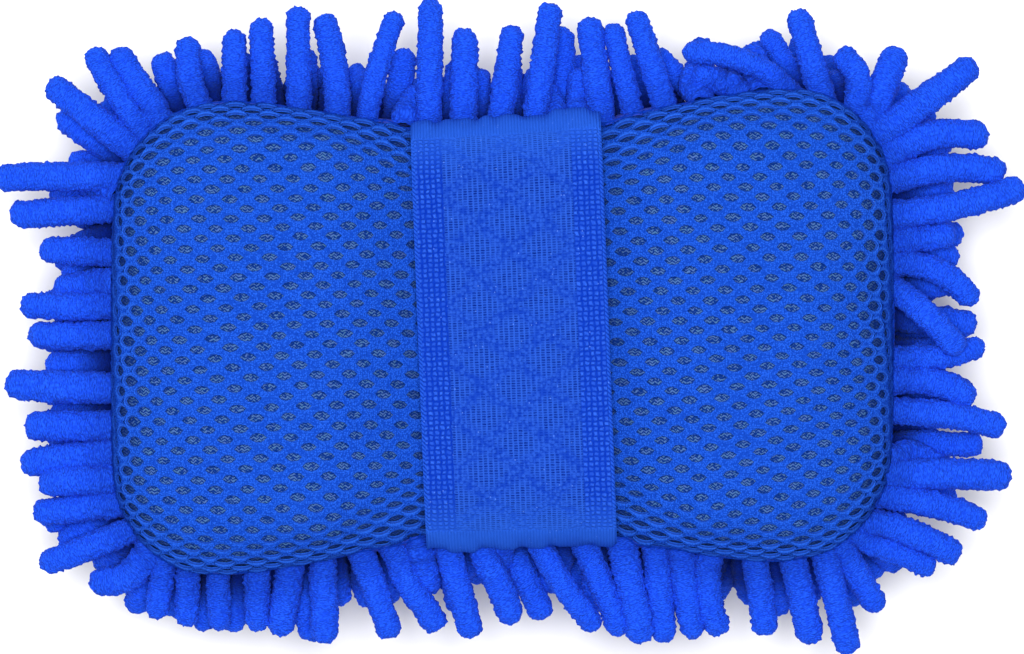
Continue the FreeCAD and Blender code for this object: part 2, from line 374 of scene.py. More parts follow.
def padding_material():
    """Slate grey knit under the mesh: zigzag rows of light strokes between dark ones, painted shade making
    it navy at the rim.
    """
    shader = Shader("grey_padding", 0.9, Specular_IOR_Level=0.04)
    drift = shader.noise(1.5 * MM, detail=1)
    x, y, height = shader.axes()
    zigzag = shader.math("PINGPONG", shader.math("MULTIPLY_ADD", drift, 0.9 * MM, x), 0.75 * MM)
    along = shader.math("MULTIPLY_ADD", drift, -0.5 * MM, y)
    along = shader.math("MULTIPLY_ADD", zigzag, 0.8, along)
    broken = shader.ramp(shader.noise(0.8 * MM, detail=1), 0.35, 0.6, 0.25, 1)
    blob = shader.times(shader.triangle(along, 0.8 * MM), broken)
    tint = shader.noise(1.1 * MM, detail=1)
    light = shader.mix(tint, (0.055, 0.180, 0.300), (0.070, 0.120, 0.440))
    colour = shader.ramp(blob, 0.12, 0.62, (0.001, 0.022, 0.170), light)
    # Painted shade: darker, down to navy, lower on the pad's rounded top.
    depth = shader.ramp(height, TOP - 10 * MM, TOP - 3 * MM, 0.8, 0)
    colour = shader.mix(depth, colour, (0.002, 0.014, 0.110))
    return shader.finish(colour, shader.bump(blob, 0.2 * MM))


def backing_material():
    """Woven backing cloth between the roots of the fingers."""
    shader = Shader("backing_weave", 0.9)
    turns = 2 * math.pi / (1.1 * MM)
    warp, cross, weft = (shader.math("SINE", shader.times(axis, turns)) for axis in shader.axes())
    weave = shader.math("ADD", shader.times(warp, weft), cross)
    tint = shader.noise(3 * MM, detail=3)
    colour = shader.mix(tint, (0.005, 0.035, 0.40), (0.009, 0.060, 0.62))
    return shader.finish(colour, shader.bump(weave, 0.15 * MM))


def foam_material():
    """Open-cell foam, hidden inside the pad."""
    shader = Shader("foam_cells", 0.9)
    pores = shader.cells(1.6 * MM)
    colour = shader.ramp(pores, 0.1, 0.6, (0.18, 0.20, 0.24), (0.42, 0.45, 0.50))
    return shader.finish(colour, shader.bump(pores, 0.6 * MM))


def thread_material():
    """Twisted polyester sewing thread."""
    shader = Shader("sewing_thread", 0.9, Specular_IOR_Level=0.03)
    strands = shader.noise(0.5 * MM)
    colour = shader.mix(strands, (0.001, 0.018, 0.24), (0.004, 0.045, 0.44))
    return shader.finish(colour, shader.bump(strands, 0.12 * MM))


def floor_material():
    """Plain white paper."""
    shader = Shader("white_floor", 0.9, Specular_IOR_Level=0.0)
    grain = shader.noise(60 * MM)
    return shader.finish(shader.mix(grain, 0.90, 0.92))


def dashes(shader, across, along, pitch, rise, wander, first, last):
    """Short dashes in wandering columns: up to 1 inside a dash, which is longer for a lower first."""
    across = shader.math("SUBTRACT", across, wander)
    along = shader.math("ADD", along, wander)
    cell = shader.node("CombineXYZ", {"X": shader.count(across, pitch), "Y": shader.count(along, rise)})
    chance = shader.node("TexWhiteNoise", {"Vector": cell})
    depth = shader.math("MULTIPLY_ADD", chance, 0.5, 0.5)
    beside = shader.share(shader.triangle(across, pitch), 0.15, 0.55)
    ahead = shader.share(shader.triangle(along, rise), first, last)
    return shader.times(shader.times(beside, ahead), depth)


def strap_weave(shader, across, along):
    """The flat elastic: its colour, and the height of its knots."""
    drift = shader.noise(1.6 * MM, detail=1)
    small = dashes(shader, across, along, RIB, DASH, shader.times(drift, 0.3 * MM), 0.3, 0.75)
    coarse = dashes(shader, across, along, BEAD_WIDE, BEAD_LONG, shader.times(drift, 1.0 * MM), 0.1, 0.6)
    pebbles = shader.ramp(shader.cells(1.0 * MM), 0.25, 0.75, 0, 1)

    # Diamonds stand in two columns, one each side of the strap's middle line, in pebbly stitches.
    beside, ahead = shader.triangle(across, DIAMOND_WIDE), shader.triangle(along, DIAMOND_LONG)
    diamond = shader.absolute(shader.math("SUBTRACT", shader.math("ADD", beside, ahead), 1.0))
    line = shader.ramp(shader.math("MULTIPLY_ADD", drift, 0.3, diamond), 0.2, 0.7, 0.7, 0)
    rib = shader.triangle(across, RIB)
    middle = shader.ramp(rib, 0.0, 0.6, (0.0180, 0.081, 0.49), (0.0150, 0.073, 0.46))
    middle = shader.mix(small, middle, (0.0003, 0.010, 0.21))
    raised = shader.mix(pebbles, (0.0160, 0.075, 0.48), (0.0010, 0.022, 0.31))
    middle = shader.mix(line, middle, raised)

    # The side bands are light beads on dark, with every second bead of a column dimmed.
    step = shader.math("MULTIPLY_ADD", shader.count(across, BEAD_WIDE), BEAD_LONG, along)
    checks = shader.ramp(shader.triangle(step, 2 * BEAD_LONG), 0.3, 0.9, 0, 0.4)
    band = shader.mix(coarse, (0.0008, 0.020, 0.31), (0.0240, 0.105, 0.62))
    band = shader.mix(checks, band, (0.0040, 0.040, 0.42))
    sides = shader.ramp(shader.absolute(across), 16.6 * MM, 17.2 * MM, 0, 1)
    knots = shader.math("SUBTRACT", 1.0, shader.mix(line, small, pebbles))
    return shader.mix(sides, middle, band), shader.mix(sides, knots, coarse)


def strap_material():
    """Jacquard elastic: dashes between ribs, pebbly diamonds, beaded side bands and ribbed ends."""
    shader = Shader("jacquard_elastic", 0.85, Specular_IOR_Level=0.02)
    across, along, end = shader.axes(shader.attribute("weave"))
    colour, knots = strap_weave(shader, across, along)
    hem = shader.ramp(shader.absolute(across), 23.9 * MM, 24.2 * MM, 0, 1)
    twill = shader.triangle(shader.math("ADD", along, across), 1.1 * MM)
    twill = shader.ramp(twill, 0.1, 0.7, (0.003, 0.030, 0.32), (0.014, 0.080, 0.55))
    colour = shader.mix(hem, colour, twill)
    fine = shader.triangle(across, 0.8 * MM)
    ribbed = shader.ramp(fine, 0.05, 0.75, (0.004, 0.046, 0.42), (0.016, 0.092, 0.60))
    colour = shader.mix(end, colour, ribbed)
    # Painted light: paler where the strap turns down towards its ends, against the shade that falls there.
    turned = shader.ramp(shader.absolute(along), 40 * MM, 58 * MM, 0, 0.55)
    colour = shader.mix(turned, colour, (0.022, 0.125, 0.70))
    slow = shader.noise(11 * MM)
    colour = shader.mix(shader.times(slow, 0.2), colour, (0.009, 0.056, 0.44))
    speck = shader.ramp(shader.cells(2.6 * MM), 0.05, 0.09, 0.5, 0)
    colour = shader.mix(speck, colour, (0.12, 0.26, 0.80))
    knots = shader.mix(end, knots, fine)
    fuzz = shader.noise(0.4 * MM)
    return shader.finish(colour, shader.bump(fuzz, 0.12 * MM, shader.bump(knots, 0.25 * MM)))


chenille = chenille_material()
knit = mesh_material()
zigzag = padding_material()
weave = backing_material()
foam = foam_material()
thread = thread_material()
elastic = strap_material()


# Outline

OUTLINE_STEP = 0.25 * MM
OUTLINE_POINTS = 2400
DISH_RADIUS, DISH_HALF = 148 * MM, 48 * MM


def arc(centre, radius, start, end, inside_out=False):
    """Points along an arc between two angles in degrees, and their outward normals."""
    steps = max(2, int(abs(math.radians(end - start)) * radius / OUTLINE_STEP))
    angles = np.radians(np.linspace(start, end, steps, endpoint=False))
    outward = np.stack([np.cos(angles), np.sin(angles)], 1)
    points = np.array(centre) + radius * outward
    return points, -outward if inside_out else outward


def straight(start, end, normal):
    """Points along a line, and their normals."""
    steps = max(2, int(math.dist(start, end) / OUTLINE_STEP))
    t = np.linspace(0, 1, steps, endpoint=False)[:, None]
    return np.array(start) * (1 - t) + np.array(end) * t, np.tile(normal, (steps, 1))


def pad_outline():
    """The pad's outline anticlockwise from the middle of its right end: points and outward normals."""
    corner = (HALF_LENGTH - CORNER_RADIUS, HALF_LOBE - CORNER_RADIUS)
    rise = HALF_LOBE - HALF_WAIST
    waist_radius = (HALF_WAIST_LENGTH**2 + rise**2) / (2 * rise)
    waist = (0.0, HALF_WAIST + waist_radius)
    lobe_y = HALF_LOBE - LOBE_RADIUS
    reach = waist_radius + LOBE_RADIUS
    lobe = (math.sqrt(reach**2 - (waist[1] - lobe_y) ** 2), lobe_y)
    lean = math.degrees(math.asin(lobe[0] / reach))
    runs = [
        straight((HALF_LENGTH, 0), (HALF_LENGTH, corner[1]), (1, 0)),
        arc(corner, CORNER_RADIUS, 0, 90),
        straight((corner[0], HALF_LOBE), (lobe[0], HALF_LOBE), (0, 1)),
        arc(lobe, LOBE_RADIUS, 90, 90 + lean),
        arc(waist, waist_radius, lean - 90, -90, inside_out=True),
    ]
    points = np.concatenate([run[0] for run in runs])
    normals = np.concatenate([run[1] for run in runs])
    flip_x, flip_y = np.array([-1, 1]), np.array([1, -1])
    half_points = np.concatenate([points, points[::-1] * flip_x])
    half_normals = np.concatenate([normals, normals[::-1] * flip_x])
    return (
        np.concatenate([half_points, half_points[::-1] * flip_y]),
        np.concatenate([half_normals, half_normals[::-1] * flip_y]),
    )


def evenly(points, normals, count):
    """The same loop with a number of points an even distance apart."""
    closed = np.concatenate([points, points[:1]])
    length = running_length(closed)
    places = np.linspace(0, length[-1], count, endpoint=False)
    index = np.minimum(np.searchsorted(length, places, "right") - 1, len(points) - 1)
    step = np.maximum(length[index + 1] - length[index], 1e-9)
    part = ((places - length[index]) / step)[:, None]
    turned = np.concatenate([normals, normals[:1]])
    blended = turned[index] * (1 - part) + turned[index + 1] * part
    return closed[index] * (1 - part) + closed[index + 1] * part, unit(blended)


OUTLINE, OUTWARD = evenly(*pad_outline(), OUTLINE_POINTS)
OUTLINE[:, 1] += SKEW * OUTLINE[:, 0]
OUTWARD[:, 0] -= SKEW * OUTWARD[:, 1]
OUTWARD = unit(OUTWARD)


def dish(x):
    """How far the pad's face is pressed down along its length, under the hand."""
    inside = np.sqrt(np.maximum(DISH_RADIUS**2 - np.square(x - STRAP_CENTRE), 0))
    return np.maximum(inside - math.sqrt(DISH_RADIUS**2 - DISH_HALF**2), 0)


# Pad

FORM_POINTS = 240  # round the form, before it swells
SLACK = 1.4 * MM  # how much smaller the form is, all round
WAIST_BULGE = 2.4 * MM  # how much wider it is in the waist, beside the strap
VOXEL = 4.5 * MM  # of the remesh
PRESSURE = 4  # in the cloth simulation
LAST_FRAME = 20  # of the simulation


def pad_form():
    """The padded form before it swells: loops of the outline, one above another, and two caps."""
    places, outward = evenly(OUTLINE, OUTWARD, FORM_POINTS)
    levels = []
    for angle in np.radians(np.linspace(0, 90, 7)):
        levels.append((BASE_ROUND * (1 - math.sin(angle)), BASE + BASE_ROUND * (1 - math.cos(angle))))
    levels.append((0, (BASE + BASE_ROUND + TOP - TOP_ROUND) / 2))
    for angle in np.radians(np.linspace(0, 90, 9)):
        levels.append((TOP_ROUND * (1 - math.cos(angle)), TOP - TOP_ROUND * (1 - math.sin(angle))))
    vertices = []
    beside_strap = smooth_step(24 * MM, 34 * MM, np.abs(places[:, 0] - STRAP_CENTRE))
    in_waist = smooth_step(64 * MM, 40 * MM, np.abs(places[:, 0])) * beside_strap
    bulge = (WAIST_BULGE * in_waist)[:, None]
    for inset, height in levels:
        ring = places - outward * (inset + SLACK) + outward * bulge
        z = np.clip(height, BASE + SLACK, TOP - SLACK)
        vertices.append(np.column_stack([ring, np.full(len(ring), z)]))
    last = (len(levels) - 1) * len(places)
    caps = [range(len(places))[::-1], range(last, last + len(places))]
    faces = [*tube_faces(len(levels), len(places)), *caps]
    return mesh_object("pad_form", np.concatenate(vertices), faces, foam)


def smooth_points(piece, rounds):
    """Evens out a mesh without changing its faces."""
    work = bmesh.new()
    work.from_mesh(piece.data)
    for _ in range(rounds):
        bmesh.ops.smooth_vert(
            work, verts=work.verts, factor=0.5, use_axis_x=True, use_axis_y=True, use_axis_z=True
        )
    work.to_mesh(piece.data)
    work.free()


def swell(piece, most):
    """Inflates a padded form as cloth. No point moves further than its own limit."""
    before = points_of(piece)
    cloth = piece.modifiers.new("Cloth", "CLOTH")
    settings = cloth.settings
    settings.quality = 6
    settings.mass = 0.3
    settings.use_pressure = True
    settings.uniform_pressure_force = PRESSURE
    settings.effector_weights.gravity = 0
    cloth.point_cache.frame_start = 1
    cloth.point_cache.frame_end = LAST_FRAME
    for number in range(1, LAST_FRAME + 1):
        bpy.context.scene.frame_set(number)
    bake_modifiers(piece)
    bpy.context.scene.frame_set(1)
    moved = points_of(piece) - before
    far = np.linalg.norm(moved, axis=1)
    share = np.tanh(far / most) * most / np.maximum(far, 1e-9)
    move_points(piece, before + moved * share[:, None])


def pad_surface():
    """The padded form after the simulation, fine enough to cut the cloth layers from."""
    form = pad_form()
    remesh = form.modifiers.new("Remesh", "REMESH")
    remesh.mode = "VOXEL"
    remesh.voxel_size = VOXEL
    bake_modifiers(form)
    smooth_points(form, 3)
    points = points_of(form)
    near_top = smooth_step(44 * MM, 68 * MM, points[:, 2])
    points[:, 2] -= (dish(points[:, 0]) + 0.5 * MM) * near_top
    move_points(form, points)
    under_strap = smooth_step(42 * MM, 26 * MM, np.abs(points[:, 0] - STRAP_CENTRE))
    swell(form, (3.6 - 2.4 * under_strap) * MM)
    subdivision = form.modifiers.new("Subdivision", "SUBSURF")
    subdivision.levels = 1
    bake_modifiers(form)
    smooth_points(form, 1)
    fit_pad(form)
    return form


def fit_pad(form):
    """Brings the swollen form back to the pad's own size, and in under the strap."""
    points = points_of(form)
    points[:, 1] -= SKEW * points[:, 0]
    reach = np.abs(points).max(0)
    points[:, 0] *= (HALF_LENGTH + 0.9 * MM) / reach[0]
    points[:, 1] *= (HALF_LOBE + 0.7 * MM) / reach[1]
    points[:, 1] += SKEW * points[:, 0]

    # In the strap's own frame its inside is an arch with a round turn at each end.
    cos, sin = math.cos(STRAP_TURN), math.sin(STRAP_TURN)
    x, y, z = points[:, 0] - STRAP_CENTRE, points[:, 1].copy(), points[:, 2]
    across, along = x * cos + y * sin, y * cos - x * sin
    turn_radius = STRAP_ROUND - STRAP_THICKNESS
    turn_y = STRAP_HALF_SPAN - STRAP_ROUND
    turn_z = STRAP_TOP - STRAP_ROUND
    out, rise = np.maximum(np.abs(along) - turn_y, 0), np.maximum(z - turn_z, 0)
    distance = np.hypot(out, rise)
    limit = turn_radius - WEB_HEIGHT - 0.5 * MM
    excess = np.maximum(distance - limit, 0) / np.maximum(distance, 1e-9)
    share = smooth_step(31 * MM, 26 * MM, np.abs(across)) * smooth_step(44 * MM, 51 * MM, z)
    inward = -np.sign(along) * out * excess * share
    points[:, 0] += -inward * sin
    points[:, 1] += inward * cos
    points[:, 2] -= rise * excess * share
    move_points(form, points)


def cut_layer(source, name, material, keep, offset):
    """A sheet copied from part of the pad's surface and moved along its normals."""
    work = bmesh.new()
    work.from_mesh(source.data)
    work.normal_update()
    for vertex in work.verts:
        vertex.co += vertex.normal * offset
    unwanted = [f for f in work.faces if not keep(f.calc_center_median())]
    bmesh.ops.delete(work, geom=unwanted, context="FACES")
    mesh = bpy.data.meshes.new(name)
    work.to_mesh(mesh)
    work.free()
    mesh.materials.append(material)
    mesh.shade_smooth()
    return add_object(name, mesh)


pad = pad_surface()
work = bmesh.new()
work.from_mesh(pad.data)
PAD_TREE = BVHTree.FromBMesh(work)
work.free()

foam_pad = cut_layer(pad, "foam_pad", foam, lambda centre: True, -2.4 * MM)
padding_sheet = cut_layer(
    pad, "padding_sheet", zigzag, lambda centre: centre.z > SEAM - 3 * MM, -0.2 * MM
)
backing_sheet = cut_layer(
    pad, "backing_sheet", weave, lambda centre: centre.z < SEAM + 0.5 * MM, 0.3 * MM
)
bpy.data.objects.remove(pad)


# Mesh cover

# Eyelets stand in rows, every second row half a cell along. A cell has six corners.
CELL_LONG, CELL_SHORT = 8.4 * MM, 5.26 * MM
CORNER_FAR, CORNER_NEAR = 2.923 * MM, 1.277 * MM
CELLS_ALONG, CELLS_ACROSS = 18, 20  # each way from the middle, which is past the rim
HOLE_LONG, HOLE_SHORT = 2.1 * MM, 1.04 * MM
ROLL_TO_SEAM = TOP_ROUND * math.acos(1 - (TOP - SEAM) / TOP_ROUND)

# A cell's rings, from its border in to the depth of its hole: each one's height, and how close it is to the
# eyelet's edge, for the material.
RING_HEIGHTS = np.array([0.0, 0.05, -0.22, -0.85]) * MM + WEB_HEIGHT
RING_EDGES = np.array([0.0, 0.55, 1.0, 0.9])


def flat_place(points):
    """Where a point of the regular lattice lies on the cut cloth, which the sewing pulled askew."""
    x, y = points[:, 0], points[:, 1]
    lean, rise = math.radians(6.5), math.radians(1.3)
    flat = np.column_stack(
        [x * math.cos(rise) - y * math.sin(lean), x * math.sin(rise) + y * math.cos(lean)]
    )
    skew = smooth_step(20 * MM, 90 * MM, flat[:, 0]) * smooth_step(10 * MM, -40 * MM, flat[:, 1])
    flat[:, 1] += skew * (flat[:, 0] - 20 * MM) * 0.055
    in_space = np.column_stack([flat, np.zeros(len(flat))])

    # The knit wavers slowly, and each eyelet is a little out of place.
    for axis, seed in ((0, 11), (1, 12)):
        flat[:, axis] += noise(in_space, 45 * MM, seed) * 0.9 * MM
        flat[:, axis] += noise(in_space, 9 * MM, seed + 5) * 0.22 * MM
    return flat


def over_the_pad(flat):
    """Wraps flat cloth over the pad: its place on the form, the outward direction and the roll."""
    inner = OUTLINE - OUTWARD * TOP_ROUND
    tree = KDTree(len(inner))
    for i, (x, y) in enumerate(inner):
        tree.insert((x, y, 0), i)
    tree.balance()
    index = np.array([tree.find((x, y, 0))[1] for x, y in flat])
    foot, outward = inner[index], OUTWARD[index]
    away = flat - foot
    roll = np.maximum((away * outward).sum(1), 0)
    angle = np.minimum(roll, ROLL_TO_SEAM + 1 * MM) / TOP_ROUND
    beyond = roll > 0
    rolled = away - outward * roll[:, None] + outward * (TOP_ROUND * np.sin(angle))[:, None]
    plan = np.where(beyond[:, None], foot + rolled, flat)
    height = TOP - TOP_ROUND * (1 - np.cos(angle))
    direction = np.column_stack([outward * np.sin(angle)[:, None], np.cos(angle)])
    return np.column_stack([plan, height]), direction, roll


def onto_pad(points, directions, offsets):
    """Moves points along their directions onto the padded form, and off it by their offsets."""
    placed = np.empty_like(points)
    for i, (point, direction) in enumerate(zip(points, directions)):
        ray = Vector(direction)
        hit = PAD_TREE.ray_cast(Vector(point) + ray * 14 * MM, -ray, 45 * MM)[0]
        base = hit if hit is not None else Vector(point)
        placed[i] = base + ray * offsets[i]
    return placed


def cell_rings():
    """The rings of points of one six-sided cell of web round its eyelet."""
    right = [(CORNER_NEAR, -CELL_SHORT / 2), (CORNER_FAR, 0), (CORNER_NEAR, CELL_SHORT / 2)]
    corners = np.roll(np.array(right + [(-x, -y) for x, y in right]), -1, axis=0)
    border = np.empty((12, 2))
    border[0::2] = corners
    border[1::2] = (corners + np.roll(corners, -1, axis=0)) / 2
    angles = np.arctan2(border[:, 1] / HOLE_SHORT, border[:, 0] / HOLE_LONG)
    lens = np.sin(angles) * np.abs(np.sin(angles)) ** 0.3
    hole = np.column_stack([HOLE_LONG * np.cos(angles), HOLE_SHORT * lens])
    return [border, border * 0.38 + hole * 0.62, hole, hole * 0.97]


def eyelets():
    """The eyelets' centres on the regular lattice, and how long and wide each is drawn."""
    centres = []
    for i in range(-CELLS_ALONG, CELLS_ALONG + 1):
        for j in range(-CELLS_ACROSS, CELLS_ACROSS + 1):
            centres += [(i, j), (i + 0.5, j + 0.5)]
    centres = np.array(centres) * (CELL_LONG, CELL_SHORT)
    roll = over_the_pad(flat_place(centres))[2]
    kept = roll < ROLL_TO_SEAM + 1.5 * MM
    centres, roll = centres[kept], roll[kept]

    # Eyelets differ a little in size. Those at the rim are stretched wider open, and those low on the
    # pad's two ends are drawn narrow as well.
    place = np.column_stack([centres, np.zeros(len(centres))])
    size = 1 + 0.08 * noise(place, 7 * MM, 21) + 0.27 * smooth_step(4 * MM, 15 * MM, roll)
    at_end = smooth_step(80 * MM, 90 * MM, np.abs(centres[:, 0]))
    at_end *= smooth_step(44 * MM, 34 * MM, np.abs(centres[:, 1]))
    at_end *= smooth_step(ROLL_TO_SEAM - 9 * MM, ROLL_TO_SEAM - 4 * MM, roll)
    return centres, np.column_stack([size * (1 - 0.5 * at_end), size])


def mesh_cover():
    """The perforated top, made of cells that share their borders, and the area of its web laid flat."""
    rings = cell_rings()
    corners = len(rings[0])
    centres, stretch = eyelets()
    cells = []
    for number, ring in enumerate(rings):
        scale = stretch if number else np.ones_like(stretch)
        cells.append(centres[:, None] + ring[None] * scale[:, None, :])
    lattice = np.stack(cells, 1).reshape(-1, 2)
    lift = np.tile(np.repeat(RING_HEIGHTS, corners), len(centres))
    shade = np.tile(np.repeat(RING_EDGES, corners), len(centres))

    # Neighbouring cells share the points of their border.
    first, merged = np.unique(np.round(lattice, 6), axis=0, return_index=True, return_inverse=True)[1:]
    lattice, lift, shade = lattice[first], lift[first], shade[first]
    quads = tube_faces(len(rings), corners)
    faces = merged.ravel()[repeated_faces(quads, len(centres), len(rings) * corners)]

    points, directions, roll = over_the_pad(flat_place(lattice))
    tuck = smooth_step(ROLL_TO_SEAM - 1.5 * MM, ROLL_TO_SEAM + 1 * MM, roll)
    piece = mesh_object("mesh_top", onto_pad(points, directions, lift - tuck * 2.2 * MM), faces, knit)
    store(piece, "hole_edge", "FLOAT", shade)
    hole = loop_area(rings[2])
    return piece, len(centres) * (CELL_LONG * CELL_SHORT / 2 - hole)


mesh_top, mesh_area = mesh_cover()


# Fingers


def finger_solids(node):
    """The root, direction and length of each finger of a CAD node, from its mesh."""
    work = bmesh.new()
    work.from_mesh(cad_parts[node].data)
    bmesh.ops.remove_doubles(work, verts=work.verts, dist=1e-6)
    work.verts.ensure_lookup_table()
    seen, found = set(), []
    for start in work.verts:
        if start.index in seen:
            continue
        seen.add(start.index)
        island, waiting = [], [start]
        while waiting:
            vertex = waiting.pop()
            island.append(vertex.co[:])
            for edge in vertex.link_edges:
                other = edge.other_vert(vertex)
                if other.index not in seen:
                    seen.add(other.index)
                    waiting.append(other)
        found.append(finger_line(np.array(island)))
    work.free()
    return found


def finger_line(island):
    """The middle of a finger solid's root and of its tip."""
    spread = np.linalg.svd(island - island.mean(0), full_matrices=False)[2]
    along = (island - island.mean(0)) @ spread[0]
    ends = [island[along > along.max() - 1 * MM], island[along < along.min() + 1 * MM]]
    tip, root = sorted(ends, key=lambda end: np.ptp(end, axis=0).max())
    for _ in range(8):
        axis = unit(tip.mean(0) - root.mean(0))
        along = (island - root.mean(0)) @ axis
        tip = island[along > along.max() - 0.3 * MM]
        root = island[along < along.min() + 0.3 * MM]
    return (root.min(0) + root.max(0)) / 2, (tip.min(0) + tip.max(0)) / 2


SEGMENTS = 7  # of the chain that stands for one finger while the fingers settle
ROUNDS = 60  # of pushing the fingers apart
HELD_PULL, FREE_PULL = 0.3, 0.06  # how much of the way back to its own place a point goes in a round
STRAIGHTENING = 0.25  # how much of the way to the middle of its two neighbours it goes
ROOM = 5 * MM  # how far past the CAD's box a finger's middle line may go
PACKING = 0.97  # how close two fingers may come, as a share of their thickness
BLUNT_RISE = 0.9  # how far a blunt tip rises over the end of its chain, as a share of its radius
SHORT = 0.6  # the length of a rim finger that LAID leaves out, as a share of its own
SAG = 8 * MM  # how much lower the tip of such a finger hangs
UNLIKELY_WAY = np.array([0.31, 0.17, 0.94])  # a direction that no finger has


# How the fingers of each row hang, with angles in degrees, and how finely they are modelled.
Row = namedtuple("Row", "name lean droop bend growth rings sides")
ROWS = (
    Row("rim", lean=8, droop=7, bend=14, growth=1.0, rings=62, sides=38),
    Row("upper", lean=9, droop=36, bend=16, growth=0.85, rings=44, sides=22),
    Row("middle", lean=9, droop=45, bend=14, growth=0.88, rings=32, sides=16),
    Row("lower", lean=7, droop=10, bend=12, growth=0.94, rings=24, sides=12),
    Row("edge", lean=6, droop=0, bend=10, growth=1.0, rings=20, sides=12),
    Row("base", lean=4, droop=0, bend=8, growth=1.0, rings=16, sides=12),
)


def finger_field():
    """Every finger: its CAD node, row, root, way out and length."""
    nodes, rows, roots, ways, lengths = [], [], [], [], []
    for node in sorted(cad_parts):
        if not node.startswith("fingers_"):
            continue
        row = next(i for i, row in enumerate(ROWS) if node.startswith(f"fingers_{row.name}"))
        for root, tip in finger_solids(node):
            nodes.append(node)
            rows.append(row)
            roots.append(root)
            ways.append(unit(tip - root))
            lengths.append(np.linalg.norm(tip - root))
    roots = np.array(roots)
    roots[:, 1] += SKEW * roots[:, 0]
    return nodes, np.array(rows), roots, np.array(ways), np.array(lengths)


def hanging_chains(rows, roots, ways, lengths):
    """Where each finger would lie with no neighbours: leaning, bent and drooping a little."""
    count = len(rows)
    up = np.array([0.0, 0.0, 1.0])
    level = ways * [1, 1, 0]
    spread = np.linalg.norm(level, axis=1)
    # A known fault: the base finger at the very middle has no outward way, so it is lost here.
    outward = unit(np.where(spread[:, None] > 0.2, level, roots * [1, 1, 0]))
    beside = np.cross(up, outward)
    lean, droop, bend = np.radians([(ROWS[r].lean, ROWS[r].droop, ROWS[r].bend) for r in rows]).T
    turn = lean * rng.normal(size=count)
    curl = bend * rng.normal(size=count)
    pitch = np.arcsin(np.clip(ways[:, 2], -1, 1)) + lean * 0.35 * rng.normal(size=count)
    sink = droop * rng.uniform(0.3, 1.7, size=count)
    chain = [roots]
    for k in range(SEGMENTS):
        t = k / (SEGMENTS - 1)
        yaw = turn + curl * t
        tilt = pitch - sink * t
        # A finger that points straight down leans from the vertical instead.
        way = (
            outward * (np.cos(tilt) * np.cos(yaw))[:, None]
            + beside * (np.sin(yaw) * np.maximum(np.cos(tilt), 0.5))[:, None]
            + up * np.sin(tilt)[:, None]
        )
        chain.append(chain[-1] + unit(way) * (lengths / SEGMENTS)[:, None])
    return np.stack(chain, 1)


# The rim's fingers as they lie, listed anticlockwise from the right end. Each has X and Y of its
# root and of its tip, how far its middle bows to the left of the way from root to tip, and how far it
# rises, in mm. A rise under -1 only says that the finger is of the row below.
LAID = (
    (106, 4, 126, 2, 0, -2), (107, 12, 121, -5, 1, 5), (106, 18, 126, 9, 3, 0), (107, 24, 120, 26, 0, 0),
    (108, 31, 138, 38, -1, 2), (107, 41, 133, 43, 2, 0), (106, 48, 128, 53, 3, 0),
    (103, 54, 125, 71, 0, 2), (101, 58, 105, 75, 0, -1), (96, 61, 91, 75, -3, 2), (91, 63, 88, 70, 0, -3),
    (86, 64, 78, 85, 0, 2), (81, 65, 70, 80, 0, -3), (70, 66, 57, 69, 0, -5), (68, 64, 66, 69, 0, -6),
    (60, 63, 58, 67, 0, -6), (53, 62, 53, 65, 0, -6), (76, 65, 48, 75, -3, 5), (63, 65, 50, 68, -1, 0),
    (53, 63, 40, 75, 0, -2), (43, 61, 35, 85, 0, 1), (34, 60, 29, 82, 0, 0), (26, 60, 23, 83, 0, 0),
    (17, 59, 16, 81, 0, -2), (8, 59, 13, 87, 0, 2), (-1, 58, 3, 81, 0, 0), (-10, 58, -10, 80, 0, 0),
    (-19, 58, -19, 88, 0, 2), (-28, 59, -26, 75, 0, -3), (-35, 60, -28, 85, 1, 2),
    (-43, 61, -47, 84, -1, 0), (-53, 63, -54, 86, 0, 1), (-63, 63, -64, 83, 0, 0),
    (-71, 63, -71, 80, 0, 0), (-81, 63, -84, 78, 1, 0), (-88, 62, -91, 74, 0, -2),
    (-94, 61, -103, 74, 0, 0), (-99, 57, -109, 75, 0, 1), (-104, 53, -120, 66, 0, 1),
    (-106, 49, -117, 58, 0, -3), (-105, 43, -134, 41, 0, 2), (-104, 33, -130, 31, 0, 1),
    (-105, 21, -122, 22, 0, 0), (-105, 14, -117, 15, 0, -3), (-105, 7, -127, 7, 0, 0),
    (-105, -1, -125, -1, 0, 0), (-105, -8, -121, -9, 0, -3), (-105, -15, -131, -14, 0, 1),
    (-104, -25, -126, -25, 0, 0), (-105, -32, -127, -35, 0, -1), (-104, -39, -122, -40, 0, 2),
    (-103, -46, -124, -48, 0, 0), (-101, -55, -122, -62, 0, 1), (-96, -60, -108, -68, 3, 0),
    (-91, -62, -92, -76, 0, 0), (-83, -63, -84, -78, 0, 0), (-75, -63, -75, -79, 0, 0),
    (-65, -63, -65, -79, 0, 0), (-56, -63, -59, -80, 0, 0), (-47, -62, -47, -82, 0, 1),
    (-37, -61, -29, -81, 0, 0), (-29, -60, -17, -79, 0, 0), (-22, -59, -20, -69, 0, -1),
    (-15, -58, -8, -81, 0, 1), (-6, -58, 3, -77, 0, 0), (1, -59, 11, -76, 0, -2),
    (8, -60, 25, -79, -1, 3), (20, -60, 32, -80, 0, 0), (31, -59, 37, -82, 0, 1),
    (40, -59, 43, -82, 0, 0), (47, -59, 51, -81, 0, 0), (55, -60, 57, -80, -2, 0),
    (67, -60, 70, -80, 0, 0), (77, -60, 82, -82, 0, 1), (87, -62, 92, -85, 0, 2),
    (93, -61, 100, -74, 0, -1), (96, -58, 115, -63, 0, 1), (99, -53, 121, -59, 1, 2),
    (103, -45, 128, -50, 1, 1), (105, -38, 134, -38, 0, 0), (106, -30, 128, -30, 0, -2),
    (105, -21, 133, -25, 1, 1), (105, -13, 125, -17, 2, 0), (105, -7, 128, -4, -1, 0),
)


